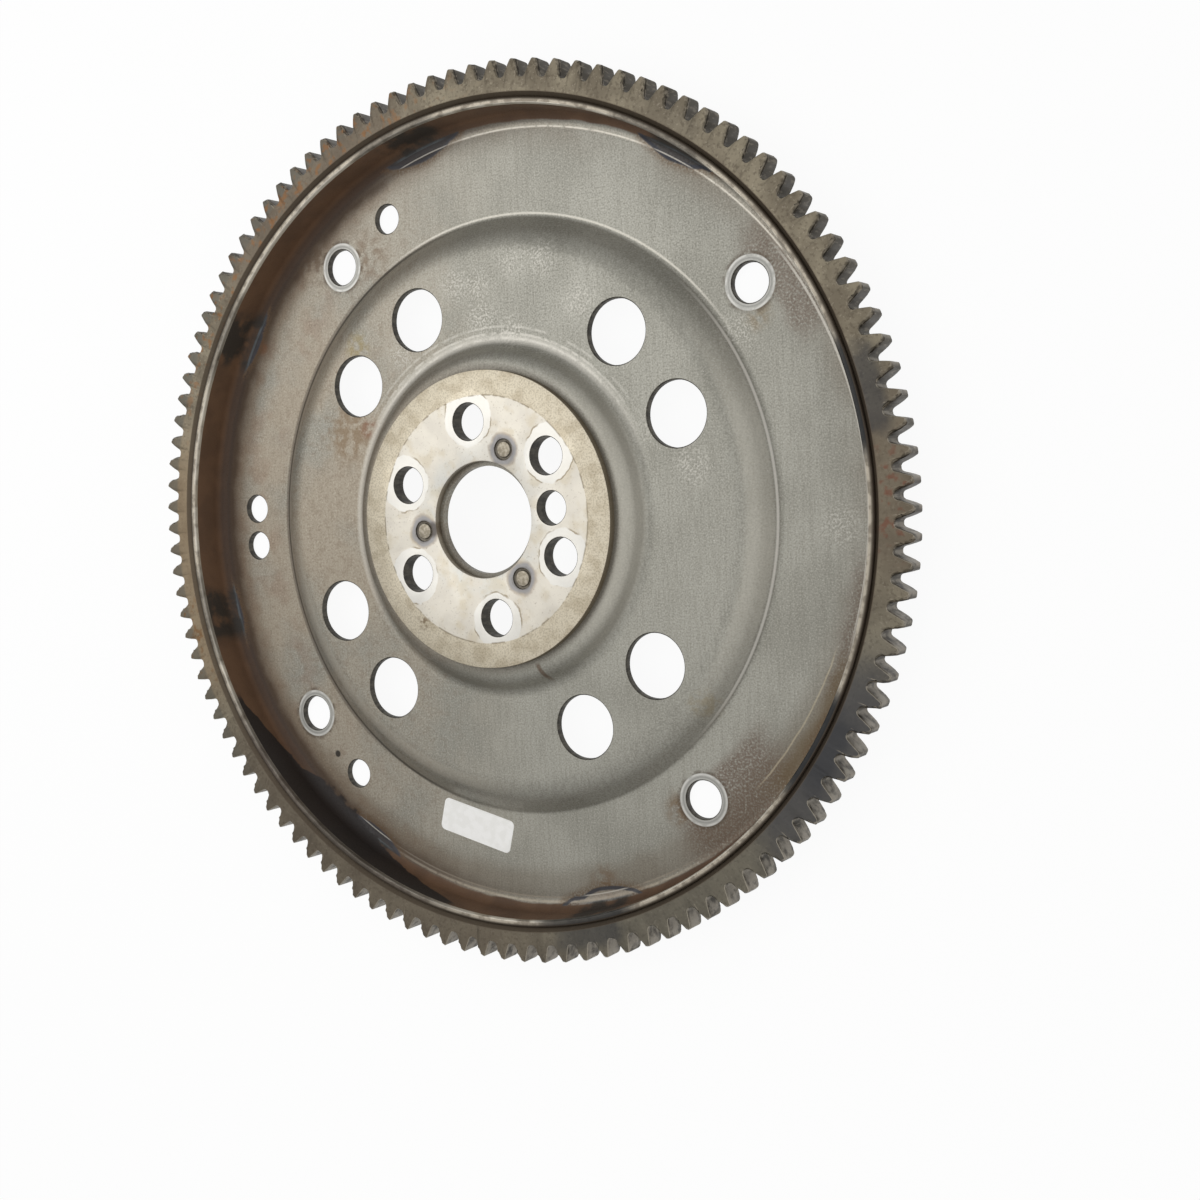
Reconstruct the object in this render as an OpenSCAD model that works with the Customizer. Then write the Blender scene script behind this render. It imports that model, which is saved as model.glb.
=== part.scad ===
// Flexplate: a pressed steel disc that carries the starter ring gear and drives a torque converter.
// The Z axis is the crank axis and +Z faces the engine. Z = 0 is the converter face of the outer annulus.

/* [Disc] */
// Thickness of the steel sheet
sheet_t = 2.2; // [1.9:0.1:2.5]
// Radius of the centre hole in the sheet
disc_bore_r = 17.4; // [16:0.1:18]
// Rise of the hub above the inner annulus
hub_rise = 6.7; // [5.5:0.1:8]
// Radius of the corner at the top of the hub wall
hub_corner_r = 52; // [51.5:0.1:54]
// Slope of the hub wall
hub_slope = 60; // [50:1:68]
// Bend radius at the top of the hub wall, on the middle of the sheet
hub_top_bend = 4.5; // [3:0.1:5]
// Bend radius at the foot of the hub wall, on the middle of the sheet
hub_foot_bend = 5.1; // [3:0.1:5.5]
// Rise of the inner annulus above the outer annulus
step_rise = 7.7; // [6.5:0.1:9]
// Radius of the corner at the foot of the step
step_corner_r = 97.8; // [97:0.1:98.5]
// Slope of the step wall
step_slope = 45; // [42:1:50]
// Bend radius at the top of the step, on the middle of the sheet
step_top_bend = 12; // [9:0.1:12.5]
// Bend radius at the foot of the step, on the middle of the sheet
step_foot_bend = 2.9; // [2:0.1:4]
// Height of the rolled flange
flange_h = 17; // [16.5:0.1:18.5]
// Bend radius at the foot of the flange, on the middle of the sheet
flange_bend = 5.6; // [4:0.1:6]
// Rounding of the flange's free edge
flange_edge = 0.7; // [0.3:0.1:0.9]

/* [Holes in the disc] */
// Angle of the first converter bolt hole, and of the first pair of lightening holes
group_angle = 37.3; // [30:0.1:45]
// Number of converter bolt holes
converter_holes = 4; // [3:1:4]
// Radius of the converter bolt circle
converter_circle_r = 112.7; // [110:0.1:114]
// Radius of a converter bolt hole
converter_hole_r = 6.1; // [5:0.1:6.5]
// Radius of the coined seat round a converter bolt hole
converter_seat_r = 8.8; // [8:0.1:9.5]
// Depth of the coined seat
converter_seat_depth = 0.2; // [0.1:0.05:0.4]
// Number of pairs of lightening holes
lightening_pairs = 4; // [3:1:4]
// Radius of the circle of lightening holes
lightening_circle_r = 73.8; // [73:0.1:74.5]
// Radius of a lightening hole
lightening_hole_r = 10.3; // [8:0.1:10.6]
// Half of the angle between the two lightening holes of a pair
lightening_spread = 13.05; // [10:0.05:15]
// Radius of the circle of gauge holes
gauge_circle_r = 114.1; // [112:0.1:115]
// Radius of a gauge hole
gauge_hole_r = 4.9; // [4:0.1:5.2]
// Angle of the middle of the pair of gauge holes
gauge_pair_angle = 180.1; // [176:0.1:184]
// Half of the angle between the two gauge holes of the pair
gauge_pair_spread = 3.4; // [3.2:0.1:5]
// Angle of the single gauge hole above the pair
gauge_upper_angle = 114.5; // [110:0.5:116]
// Angle of the single gauge hole below the pair
gauge_lower_angle = 231.5; // [229:0.5:240]
// Width of the rolled edge that the punch leaves on each hole
punch_edge = 0.35; // [0.1:0.05:0.5]

/* [Hub plate] */
// Radius of the hub plate
plate_r = 48.1; // [44:0.1:49]
// Thickness of the hub plate
plate_t = 2.6; // [2:0.1:4]
// Radius of the centre hole in the hub plate
plate_bore_r = 18.85; // [18.2:0.05:19.5]
// Chamfer on the hub plate's edges
plate_chamfer = 0.4; // [0.2:0.1:0.6]
// Radius of the crank bolt circle
crank_circle_r = 32; // [31:0.1:33]
// Radius of a crank bolt hole
crank_hole_r = 6; // [5:0.1:6.4]
// Number of crank bolt holes
crank_holes = 6; // [5:1:6]
// Angle of the first crank bolt hole
crank_angle = 37.5; // [36:0.1:39]
// Which crank bolt hole is out of step, so that the plate fits one way only
crank_odd_hole = 3; // [3:1:3]
// How far that hole is turned from its even place
crank_odd_turn = -5.3; // [-6:0.1:6]
// Distance of the dowel hole from the crank axis
dowel_circle_r = 26.9; // [26.5:0.1:28]
// Radius of the dowel hole
dowel_hole_r = 5.35; // [4.5:0.05:5.5]
// Angle of the dowel hole
dowel_angle = 6.5; // [4:0.1:9]

/* [Ring gear] */
// Number of starter teeth
tooth_count = 112; // [110:1:118]
// Module of the teeth
tooth_module = 2.54; // [2.5:0.01:2.6]
// Pressure angle of the teeth
pressure_angle = 20; // [18:0.5:22]
// Thinning of each tooth, for backlash
tooth_backlash = 0.23; // [0:0.01:0.4]
// Angle of the first tooth
tooth_angle = 2.92; // [0:0.01:3.2]
// Thickness of the ring between its bore and the tooth roots
ring_t = 5.9; // [5:0.1:6.5]
// Width of the ring along the axis
ring_w = 8; // [7:0.1:8.8]
// How far the ring stands above the flange's edge
ring_proud = 0.3; // [0:0.05:0.6]
// Chamfer at the front of the ring's bore
ring_bore_chamfer = 1.4; // [0.8:0.1:2]
// Chamfer on the rear ends of the teeth
tooth_rear_chamfer = 0.9; // [0.4:0.1:2]
// Length of the shallow slope on the front ends of the teeth
tooth_slope_len = 2.8; // [1.5:0.1:3.5]
// Drop of that slope at the tooth tips
tooth_slope_drop = 0.35; // [0.2:0.05:0.8]

/* [Welds] */
// Number of weld beads between the ring and the flange
bead_count = 8; // [6:1:12]
// Angle of the first weld bead
bead_angle = 13.5; // [0:0.5:40]
// Angle that one weld bead covers
bead_sweep = 11; // [7:0.5:15]
// Leg of a weld bead on the ring gear's rear face
bead_leg = 2.8; // [2:0.1:4]
// Number of plug welds that hold the hub plate
plug_count = 3; // [3:1:3]
// Radius of the circle of plug welds
plug_circle_r = 24; // [23.5:0.1:25]
// Angle of the first plug weld
plug_angle = 67.5; // [66:0.1:69]
// Radius of the hole that a plug weld fills
plug_hole_r = 3.4; // [2.8:0.1:3.8]
// Radius of the button in the middle of a plug weld
plug_button_r = 2.5; // [2:0.1:2.6]
// Depth of the moat round the button
plug_moat = 0.7; // [0.4:0.1:1.2]
// How far the button lies below the face of the hub plate
plug_sunk = 0.1; // [0:0.05:0.2]

/* [Hidden] */
$fn = 96;

// Room that a cutting tool has beyond the face that it cuts
overcut = 1;
// Number of straight pieces in one bend of the sheet
bend_steps = 10;
// Number of points on a tooth flank
flank_steps = 4;
// Middle point of a corner that is rounded by two straight pieces, as a share of its size
round_middle = 1 / 3;

// Faces that the pieces share
hub_face_z = step_rise + hub_rise + sheet_t;
plate_face_z = hub_face_z + plate_t;
ring_front_z = flange_h + ring_proud;
ring_rear_z = ring_front_z - ring_w;

// Tooth form of a ring gear with full-depth teeth, as shares of the module
dedendum_share = 1.25;
root_fillet_share = 0.3;
tip_break_share = 0.1;
pitch_r = tooth_module * tooth_count / 2;
base_r = pitch_r * cos(pressure_angle);
tip_r = pitch_r + tooth_module;
root_r = pitch_r - dedendum_share * tooth_module;
root_fillet = root_fillet_share * tooth_module;
tip_break = tip_break_share * tooth_module;
ring_bore_r = root_r - ring_t;
flange_r = ring_bore_r - sheet_t / 2;

// How far the root fillet reaches into the tooth gap at its foot and at its middle, as shares of its size
root_fillet_reach = 0.75;
root_fillet_middle = 0.15;

// The middle line of the sheet, from the centre hole to the flange's edge, as corners and their bend radii
middle_z = sheet_t / 2;
hub_wall_run = hub_rise / tan(hub_slope);
step_wall_run = step_rise / tan(step_slope);
sheet_corners = [
    [disc_bore_r, middle_z + step_rise + hub_rise],
    [hub_corner_r, middle_z + step_rise + hub_rise],
    [hub_corner_r + hub_wall_run, middle_z + step_rise],
    [step_corner_r - step_wall_run, middle_z + step_rise],
    [step_corner_r, middle_z],
    [flange_r, middle_z],
    [flange_r, flange_h]
];
sheet_bends = [0, hub_top_bend, hub_foot_bend, step_top_bend, step_foot_bend, flange_bend, 0];

function along(angle) = [cos(angle), sin(angle)];

function heading(from, to) = atan2(to[1] - from[1], to[0] - from[0]);

// One bend of the sheet, drawn at a distance to the left of the middle line
function bend(before, corner, after, bend_r, left) =
    let (
        way_in = heading(before, corner),
        turn = heading(corner, after) - way_in,
        side = sign(turn),
        start = corner - bend_r * tan(abs(turn) / 2) * along(way_in),
        centre = start + side * bend_r * along(way_in + 90)
    )
    [for (i = [0 : bend_steps])
        centre + (bend_r - side * left) * along(way_in - side * 90 + turn * i / bend_steps)];

// All the bends of one face of the sheet
function sheet_face(left) = [
    for (i = [1 : len(sheet_corners) - 2])
        each bend(sheet_corners[i - 1], sheet_corners[i], sheet_corners[i + 1], sheet_bends[i], left)
];

function reversed(points) = [for (i = [len(points) - 1 : -1 : 0]) points[i]];

// Section of the disc, with the flange's free edge rounded off
module sheet_section() {
    half = sheet_t / 2;
    start = sheet_corners[0];
    front = sheet_face(half);
    back = sheet_face(-half);
    edge = [
        [flange_r - half, flange_h - flange_edge],
        [flange_r - half + flange_edge * round_middle, flange_h - flange_edge * round_middle],
        [flange_r - half + flange_edge, flange_h],
        [flange_r + half - flange_edge, flange_h],
        [flange_r + half - flange_edge * round_middle, flange_h - flange_edge * round_middle],
        [flange_r + half, flange_h - flange_edge]
    ];
    polygon(concat(
        [start + [0, half]],
        front,
        edge,
        reversed(back),
        [start - [0, half]]
    ));
}

// Puts a tool at a place given by its radius, angle and height
module at(circle_r, angle, z) {
    rotate([0, 0, angle])
        translate([circle_r, 0, z])
            children();
}

// A plain hole through a layer with its front face at z = 0
module drill(hole_r, depth) {
    translate([0, 0, -depth - overcut])
        cylinder(r = hole_r, h = depth + 2 * overcut);
}

// A punched hole, with a rolled edge at its front face
module punch(hole_r, depth) {
    drill(hole_r, depth);
    translate([0, 0, -punch_edge])
        cylinder(r1 = hole_r, r2 = hole_r + punch_edge + overcut, h = punch_edge + overcut);
}

// The crank bolt holes: even steps, but for the one that is turned out of its place
function crank_hole_angle(i) =
    crank_angle + i * 360 / crank_holes + (i == crank_odd_hole ? crank_odd_turn : 0);

// Places of the crank bolt holes and the dowel hole, as circle radius, angle and hole radius
crank_places = concat(
    [for (i = [0 : crank_holes - 1]) [crank_circle_r, crank_hole_angle(i), crank_hole_r]],
    [[dowel_circle_r, dowel_angle, dowel_hole_r]]
);

// The lightening holes: one on either side of the middle of each pair
function lightening_angle(pair, side) = group_angle + pair * 360 / lightening_pairs + side * lightening_spread;

// Bolt hole for the torque converter, with the shallow seat that the bolt head has pressed
module converter_punch() {
    punch(converter_hole_r, sheet_t);
    translate([0, 0, -converter_seat_depth])
        cylinder(r = converter_seat_r, h = converter_seat_depth + overcut);
}

module disc() {
    color("darkgray")
        difference() {
            rotate_extrude() sheet_section();
            for (place = crank_places)
                at(place[0], place[1], hub_face_z) drill(place[2], sheet_t);
            for (i = [0 : converter_holes - 1])
                at(converter_circle_r, group_angle + i * 360 / converter_holes, sheet_t)
                    converter_punch();
            for (i = [0 : lightening_pairs - 1], side = [-1, 1])
                at(lightening_circle_r, lightening_angle(i, side), step_rise + sheet_t)
                    punch(lightening_hole_r, sheet_t);
            for (angle = [
                gauge_upper_angle,
                gauge_pair_angle - gauge_pair_spread,
                gauge_pair_angle + gauge_pair_spread,
                gauge_lower_angle
            ])
                at(gauge_circle_r, angle, sheet_t) punch(gauge_hole_r, sheet_t);
        }
}

// Section of the hub plate, chamfered at its bore and its rim
module plate_section() {
    polygon([
        [plate_bore_r, hub_face_z],
        [plate_r, hub_face_z],
        [plate_r, plate_face_z - plate_chamfer],
        [plate_r - plate_chamfer, plate_face_z],
        [plate_bore_r + plate_chamfer, plate_face_z],
        [plate_bore_r, plate_face_z - plate_chamfer]
    ]);
}

module hub_plate() {
    color("gainsboro")
        difference() {
            rotate_extrude() plate_section();
            for (place = crank_places)
                at(place[0], place[1], plate_face_z) punch(place[2], plate_t);
            for (i = [0 : plug_count - 1])
                at(plug_circle_r, plug_angle + i * 360 / plug_count, plate_face_z) drill(plug_hole_r, plate_t);
        }
}

function degrees(radians) = radians * 180 / PI;

// Involute function of the pressure angle at a radius, in degrees
function involute(r) =
    let (angle = acos(base_r / r))
    degrees(tan(angle)) - angle;

// Half of the angle that a tooth covers at a radius
function tooth_half(r) =
    90 / tooth_count + involute(pitch_r) - involute(r) - degrees(tooth_backlash / 2 / r);

// One side of a tooth from the root to the tip, as radius and angle from the middle of the tooth
function tooth_side() =
    let (low_r = root_r + root_fillet)
    concat(
        [[root_r, tooth_half(root_r) + degrees(root_fillet_reach * root_fillet / root_r)]],
        [[root_r + root_fillet * round_middle,
            tooth_half(root_r) + degrees(root_fillet_middle * root_fillet / root_r)]],
        [for (i = [0 : flank_steps])
            let (r = low_r + (tip_r - tip_break - low_r) * i / flank_steps)
            [r, tooth_half(r)]],
        [[tip_r, tooth_half(tip_r) - degrees(tip_break / tip_r)]]
    );

// Outline of the whole gear, tooth after tooth
function gear_outline() =
    let (side = tooth_side())
    [for (i = [0 : tooth_count - 1])
        let (middle = tooth_angle + i * 360 / tooth_count)
        each concat(
            [for (p = side) p[0] * along(middle - p[1])],
            [for (p = reversed(side)) p[0] * along(middle + p[1])]
        )];

// Section of the turned blank, wider than the teeth so that only its slopes trim them
module ring_section() {
    slope = tooth_slope_drop / tooth_slope_len;
    polygon([
        [ring_bore_r, ring_rear_z],
        [tip_r - tooth_rear_chamfer, ring_rear_z],
        [tip_r + overcut, ring_rear_z + tooth_rear_chamfer + overcut],
        [tip_r + overcut, ring_front_z - tooth_slope_drop - slope * overcut],
        [tip_r - tooth_slope_len, ring_front_z],
        [ring_bore_r + ring_bore_chamfer, ring_front_z],
        [ring_bore_r, ring_front_z - ring_bore_chamfer]
    ]);
}

module ring_gear() {
    color("dimgray")
        intersection() {
            rotate_extrude() ring_section();
            translate([0, 0, ring_rear_z - overcut])
                linear_extrude(ring_w + 2 * overcut)
                    polygon(gear_outline());
        }
}

// Section of a weld bead in the corner under the ring gear, outside the flange's straight part
module bead_section() {
    straight = ring_rear_z - flange_bend - middle_z;
    drop = min(bead_leg, straight);
    polygon(concat(
        [[ring_bore_r, ring_rear_z]],
        [for (angle = [0 : 15 : 90])
            [ring_bore_r + bead_leg * cos(angle), ring_rear_z - drop * sin(angle)]]
    ));
}

module ring_gear_welds() {
    color("saddlebrown")
        for (i = [0 : bead_count - 1])
            rotate([0, 0, bead_angle + i * 360 / bead_count - bead_sweep / 2])
                rotate_extrude(angle = bead_sweep) bead_section();
}

// Section of a plug weld: it fills its hole, with a moat round a button on top
module plug_section() {
    polygon([
        [0, hub_face_z],
        [plug_hole_r, hub_face_z],
        [plug_hole_r, plate_face_z - plug_moat],
        [plug_button_r, plate_face_z - plug_moat],
        [plug_button_r, plate_face_z - plug_sunk],
        [0, plate_face_z - plug_sunk]
    ]);
}

module hub_plug_welds() {
    color("slategray")
        for (i = [0 : plug_count - 1])
            at(plug_circle_r, plug_angle + i * 360 / plug_count, 0)
                rotate_extrude() plug_section();
}

disc();
hub_plate();
ring_gear();
ring_gear_welds();
hub_plug_welds();
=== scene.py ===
import math

import bmesh
import bpy
from mathutils import Matrix, Vector


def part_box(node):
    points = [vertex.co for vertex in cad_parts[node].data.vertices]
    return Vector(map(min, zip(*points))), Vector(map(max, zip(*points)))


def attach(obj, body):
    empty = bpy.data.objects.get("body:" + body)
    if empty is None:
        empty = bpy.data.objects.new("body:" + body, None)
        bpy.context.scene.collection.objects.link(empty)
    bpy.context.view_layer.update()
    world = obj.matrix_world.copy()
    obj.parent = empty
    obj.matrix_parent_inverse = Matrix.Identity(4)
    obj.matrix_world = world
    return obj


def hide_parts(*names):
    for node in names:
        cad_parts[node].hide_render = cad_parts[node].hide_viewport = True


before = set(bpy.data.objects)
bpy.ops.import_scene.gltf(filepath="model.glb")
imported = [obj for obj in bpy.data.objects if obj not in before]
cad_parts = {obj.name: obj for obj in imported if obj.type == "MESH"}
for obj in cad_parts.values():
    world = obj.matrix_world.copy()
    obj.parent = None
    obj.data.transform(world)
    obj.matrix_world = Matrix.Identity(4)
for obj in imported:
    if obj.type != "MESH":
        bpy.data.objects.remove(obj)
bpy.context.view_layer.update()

# Pressed disc
# One sheet of mild steel, drawn in a press to a raised hub, a step and a rolled flange, then punched.
# The press left a satin grey skin with the mill's grain, and oil and welding heat have browned its rim.

MM = 0.001
_, disc_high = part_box("disc")
plate_low, plate_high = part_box("hub_plate")
ring_low, ring_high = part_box("ring_gear")
hub_z = plate_low[2]
flange_out_r = disc_high[0]
flange_z = disc_high[2]
sheet = 2.2 * MM
disc_bore_r = 17.4 * MM
inner_z = 9.9 * MM
hub_corner_r = 52 * MM
hub_slope = math.radians(60)
step_corner_r = 97.8 * MM
step_slope = math.radians(45)
flange_round = 0.7 * MM
bend_steps = 12
turn_steps = 384


def along(angle):
    """Unit step in a direction of the section, as radius and height."""
    return Vector((math.cos(angle), math.sin(angle)))


def bent_face(corners, bends, left):
    """One face of a bent sheet: the middle line's corners with their bends, drawn a distance to the left."""
    face = []
    hold = 0.4 * MM
    for before, corner, after, bend_r in zip(corners, corners[1:], corners[2:], bends):
        way_in = math.atan2(*(corner - before).yx)
        turn = math.atan2(*(after - corner).yx) - way_in
        side = math.copysign(1, turn)
        start = corner - bend_r * math.tan(abs(turn) / 2) * along(way_in)
        centre = start + side * bend_r * along(way_in + math.pi / 2)
        arc = [centre + (bend_r - side * left) * along(way_in - side * math.pi / 2 + turn * i / bend_steps)
               for i in range(bend_steps + 1)]
        face += [arc[0] - hold * along(way_in)] + arc + [arc[-1] + hold * along(way_in + turn)]
    return face


def turned(name, section, steps):
    """A closed section of radius and height points, turned once round the crank axis."""
    mesh = bpy.data.meshes.new(name)
    points = []
    for i in range(steps):
        turn = math.tau * i / steps
        points += [(r * math.cos(turn), r * math.sin(turn), z) for r, z in section]
    count = len(section)
    faces = []
    for i in range(steps):
        here, there = i * count, (i + 1) % steps * count
        faces += [(here + j, there + j, there + (j + 1) % count, here + (j + 1) % count) for j in range(count)]
    mesh.from_pydata(points, [], faces)
    return mesh


def merged(mesh, sharp):
    """The mesh with its doubles merged, its faces turned outwards and its edges above an angle kept sharp."""
    gap = 0.002 * MM
    work = bmesh.new()
    work.from_mesh(mesh)
    bmesh.ops.remove_doubles(work, verts=work.verts, dist=gap)
    bmesh.ops.dissolve_degenerate(work, edges=work.edges, dist=gap)
    bmesh.ops.recalc_face_normals(work, faces=work.faces)
    work.to_mesh(mesh)
    work.free()
    mesh.shade_smooth()
    mesh.set_sharp_from_angle(angle=sharp)
    return mesh


def placed(name, mesh, *materials):
    """A new object at the origin that shows a mesh."""
    shown = bpy.data.objects.new(name, mesh)
    bpy.context.scene.collection.objects.link(shown)
    for material in materials:
        mesh.materials.append(material)
    return shown


def linear(code):
    """An sRGB hex colour as the linear colour that a shader takes."""
    parts = [int(code[i:i + 2], 16) / 255 for i in (1, 3, 5)]
    return [c / 12.92 if c <= 0.04045 else ((c + 0.055) / 1.055) ** 2.4 for c in parts] + [1]


def node(tree, kind, inputs, **settings):
    """Adds a node with its settings, and sets or links its inputs."""
    made = tree.nodes.new(kind)
    for name, value in settings.items():
        setattr(made, name, value)
    for socket, value in inputs.items():
        if isinstance(value, bpy.types.NodeSocket):
            tree.links.new(value, made.inputs[socket])
        else:
            made.inputs[socket].default_value = value
    return made


def new_material(name):
    """An empty material, its tree, and the place on the object in millimetres."""
    material = bpy.data.materials.new(name)
    material.use_nodes = True
    tree = material.node_tree
    tree.nodes.clear()
    coordinate = node(tree, "ShaderNodeTexCoord", {}).outputs["Object"]
    place = node(tree, "ShaderNodeVectorMath", {0: coordinate, "Scale": 1 / MM}, operation="SCALE").outputs[0]
    return material, tree, place


def polar(tree, place):
    """Distance from the crank axis in millimetres, angle in degrees and height in millimetres."""
    split = node(tree, "ShaderNodeSeparateXYZ", {0: place}).outputs
    flat = node(tree, "ShaderNodeCombineXYZ", {0: split[0], 1: split[1]}).outputs[0]
    radius = node(tree, "ShaderNodeVectorMath", {0: flat}, operation="LENGTH").outputs["Value"]
    turn = node(tree, "ShaderNodeMath", {0: split[1], 1: split[0]}, operation="ARCTAN2").outputs[0]
    angle = node(tree, "ShaderNodeMath", {0: turn}, operation="DEGREES").outputs[0]
    return radius, angle, split[2]


def cloud(tree, place, size, detail=2, stretch=(1, 1, 1)):
    """A cloudy pattern, with patches of about a size in millimetres, between 0 and 1 and mostly near 0.5."""
    scale = [s / size for s in stretch]
    spot = node(tree, "ShaderNodeVectorMath", {0: place, 1: scale}, operation="MULTIPLY").outputs[0]
    return node(tree, "ShaderNodeTexNoise", {"Vector": spot, "Scale": 1, "Detail": detail}).outputs[0]


def within(tree, value, *edges, peak=1):
    """A mask that is at its peak inside its one or two edges: where each is still 0 and where it is full."""
    mask = None
    for nothing, full in zip(edges[::2], edges[1::2]):
        ends = {0: value, 1: nothing, 2: full, 4: 1 if mask else peak}
        side = node(tree, "ShaderNodeMapRange", ends, interpolation_type="SMOOTHSTEP").outputs[0]
        if mask:
            side = node(tree, "ShaderNodeMath", {0: mask, 1: side}, operation="MULTIPLY").outputs[0]
        mask = side
    return mask


def off_angle(tree, angle, middle, repeat=360):
    """How many degrees an angle is away from the nearest of the repeated middles."""
    start = node(tree, "ShaderNodeMath", {0: angle, 1: middle}, operation="SUBTRACT").outputs[0]
    return node(tree, "ShaderNodeMath", {0: start, 1: repeat / 2}, operation="PINGPONG").outputs[0]


def off_centres(tree, place, centres):
    """Distance in millimetres from the nearest of the centres, seen along the crank axis."""
    flat = node(tree, "ShaderNodeVectorMath", {0: place, 1: (1, 1, 0)}, operation="MULTIPLY").outputs[0]
    nearest = None
    for centre in centres:
        spot = [c / MM for c in centre] + [0]
        away = node(tree, "ShaderNodeVectorMath", {0: flat, 1: spot}, operation="DISTANCE").outputs["Value"]
        if nearest:
            away = node(tree, "ShaderNodeMath", {0: nearest, 1: away}, operation="MINIMUM").outputs[0]
        nearest = away
    return nearest


def tinted(tree, under, colour, strength, *masks):
    """A colour laid over another inside all of the masks. Each is a ready mask, or a value with its edges."""
    shares = []
    for mask in masks:
        if isinstance(mask, tuple):
            mask, strength = within(tree, *mask, peak=strength), 1
        shares.append(mask)
    if strength < 1:
        shares.append(strength)
    share = shares[0]
    for more in shares[1:]:
        share = node(tree, "ShaderNodeMath", {0: share, 1: more}, operation="MULTIPLY").outputs[0]
    return node(tree, "ShaderNodeMix", {0: share, 6: under, 7: linear(colour)}, data_type="RGBA").outputs[2]


def on_circle(circle_r, degrees):
    """A place on a circle round the crank axis."""
    return circle_r * math.cos(math.radians(degrees)), circle_r * math.sin(math.radians(degrees))


group_angle = 37.3
converter_r = 6.1 * MM
converter_circle_r = 112.7 * MM
converter_centres = [on_circle(converter_circle_r, group_angle + 90 * i) for i in range(4)]
lightening_r = 10.3 * MM
lightening_circle_r = 73.8 * MM
lightening_spread = 13.05
lightening_centres = [on_circle(lightening_circle_r, group_angle + 90 * i + side * lightening_spread)
                      for i in range(4) for side in (-1, 1)]
gauge_r = 4.9 * MM
gauge_circle_r = 114.1 * MM
gauge_centres = [on_circle(gauge_circle_r, a) for a in (114.5, 176.7, 183.5, 231.5)]
crank_r = 6 * MM
crank_circle_r = 32 * MM
crank_centres = [on_circle(crank_circle_r, a) for a in (37.5, 97.5, 157.5, 212.2, 277.5, 337.5)]
dowel_r = 5.35 * MM
dowel_circle_r = 26.9 * MM
dowel_angle = 6.5
dowel_centre = on_circle(dowel_circle_r, dowel_angle)
weld_count = 8
weld_angle = 13.5

# Satin pressed steel: a grey metal skin with a sandy grain and faint streaks along the rolling direction.
# Brown oil varnish, a run of black oil, blue welding heat, rust and pale lime scuffs lie on it, with painted
# shade in its creases and painted highlights along its walls, bends and lip.
# The grain is drawn at half a millimetre, coarser than the real one, which is too fine to show.
# Lengths are in millimetres and angles in degrees, counted from +X round the crank axis.
pressed_steel, tree, place = new_material("satin_pressed_steel")
radius, angle, height = polar(tree, place)
fields = cloud(tree, place, 30, 4)
patches = cloud(tree, place, 9, 4)
spots = cloud(tree, place, 3, 3)
grains = cloud(tree, place, 0.75, 3)
sand = cloud(tree, place, 0.55, 1)
streaks = cloud(tree, place, 1.4, 2, (1.6, 0.12, 1))
wobble = node(tree, "ShaderNodeMath", {0: patches, 1: 5.0, 2: -2.5}, operation="MULTIPLY_ADD").outputs[0]
ripple = node(tree, "ShaderNodeMath", {0: patches, 1: 1.2, 2: -0.6}, operation="MULTIPLY_ADD").outputs[0]
rough_r = node(tree, "ShaderNodeMath", {0: radius, 1: wobble}, operation="ADD").outputs[0]
ragged_r = node(tree, "ShaderNodeMath", {0: radius, 1: ripple}, operation="ADD").outputs[0]
rough_angle = node(tree, "ShaderNodeMath", {0: patches, 1: 4.0, 2: angle}, operation="MULTIPLY_ADD").outputs[0]
left_off = off_angle(tree, angle, 180)
right_off = off_angle(tree, angle, 0)
left = within(tree, left_off, 90, 58)
rusted = within(tree, grains, 0.26, 0.6)
flecked = within(tree, spots, 0.36, 0.6)

skin = node(tree, "ShaderNodeMix", {
    0: within(tree, fields, 0.35, 0.65),
    6: linear("#959389"),
    7: linear("#a3a197"),
}, data_type="RGBA").outputs[2]
skin = tinted(tree, skin, "#79766b", 0.24, (streaks, 0.4, 0.7))
grit = within(tree, sand, 0.48, 0.7)
skin = tinted(tree, skin, "#66635a", 0.26, grit)
skin = tinted(tree, skin, "#cac7bb", 0.26, (sand, 0.46, 0.3))

# Brown age on the left half, darker towards the rim there with varnish and painted shade from the flange wall,
# and single fields of rust at the right
skin = tinted(tree, skin, "#a08e76", 0.5, (left_off, 105, 25), (fields, 0.3, 0.6))
skin = tinted(tree, skin, "#80604a", 0.28, (left_off, 75, 35), (radius, 98, 108), (patches, 0.48, 0.66))
skin = tinted(tree, skin, "#75634f", 0.3, (rough_r, 116, 127), (fields, 0.65, 0.35))
# Darker towards the bottom near the rim.
low_off = off_angle(tree, angle, -80)
skin = tinted(tree, skin, "#6d6251", 0.4, (rough_r, 114, 121), (low_off, 75, 45))
skin = tinted(tree, skin, "#6d5a47", 0.28, left, (grains, 0.5, 0.66))
skin = tinted(tree, skin, "#756350", 0.2, left, (spots, 0.5, 0.66))
skin = tinted(tree, skin, "#c3baa9", 0.4, left, (grains, 0.4, 0.28))
skin = tinted(tree, skin, "#7d6650", 0.4, left, (rough_r, 117, 123.5))
# On the left, dark brown varnish with painted shade fades inwards from the foot of the flange wall.
rim_edge = within(tree, rough_r, 122.2, 127.0)
rim_varnish_and_shade = node(tree, "ShaderNodeMath", {0: rim_edge, 1: left}, operation="MULTIPLY").outputs[0]
skin = tinted(tree, skin, "#443324", 0.92, rim_varnish_and_shade)
rust_fields = ((-46, 14, 108, 0.75), (-15, 13, 122, 0.65), (36, 11, 116, 0.6))
for middle, half_width, inner_edge, strength in rust_fields:
    arc = (off_angle(tree, rough_angle, middle), half_width, half_width / 2)
    band = (rough_r, inner_edge - 3, inner_edge + 3)
    skin = tinted(tree, skin, "#634f40", strength, arc, band, rusted)

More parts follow.
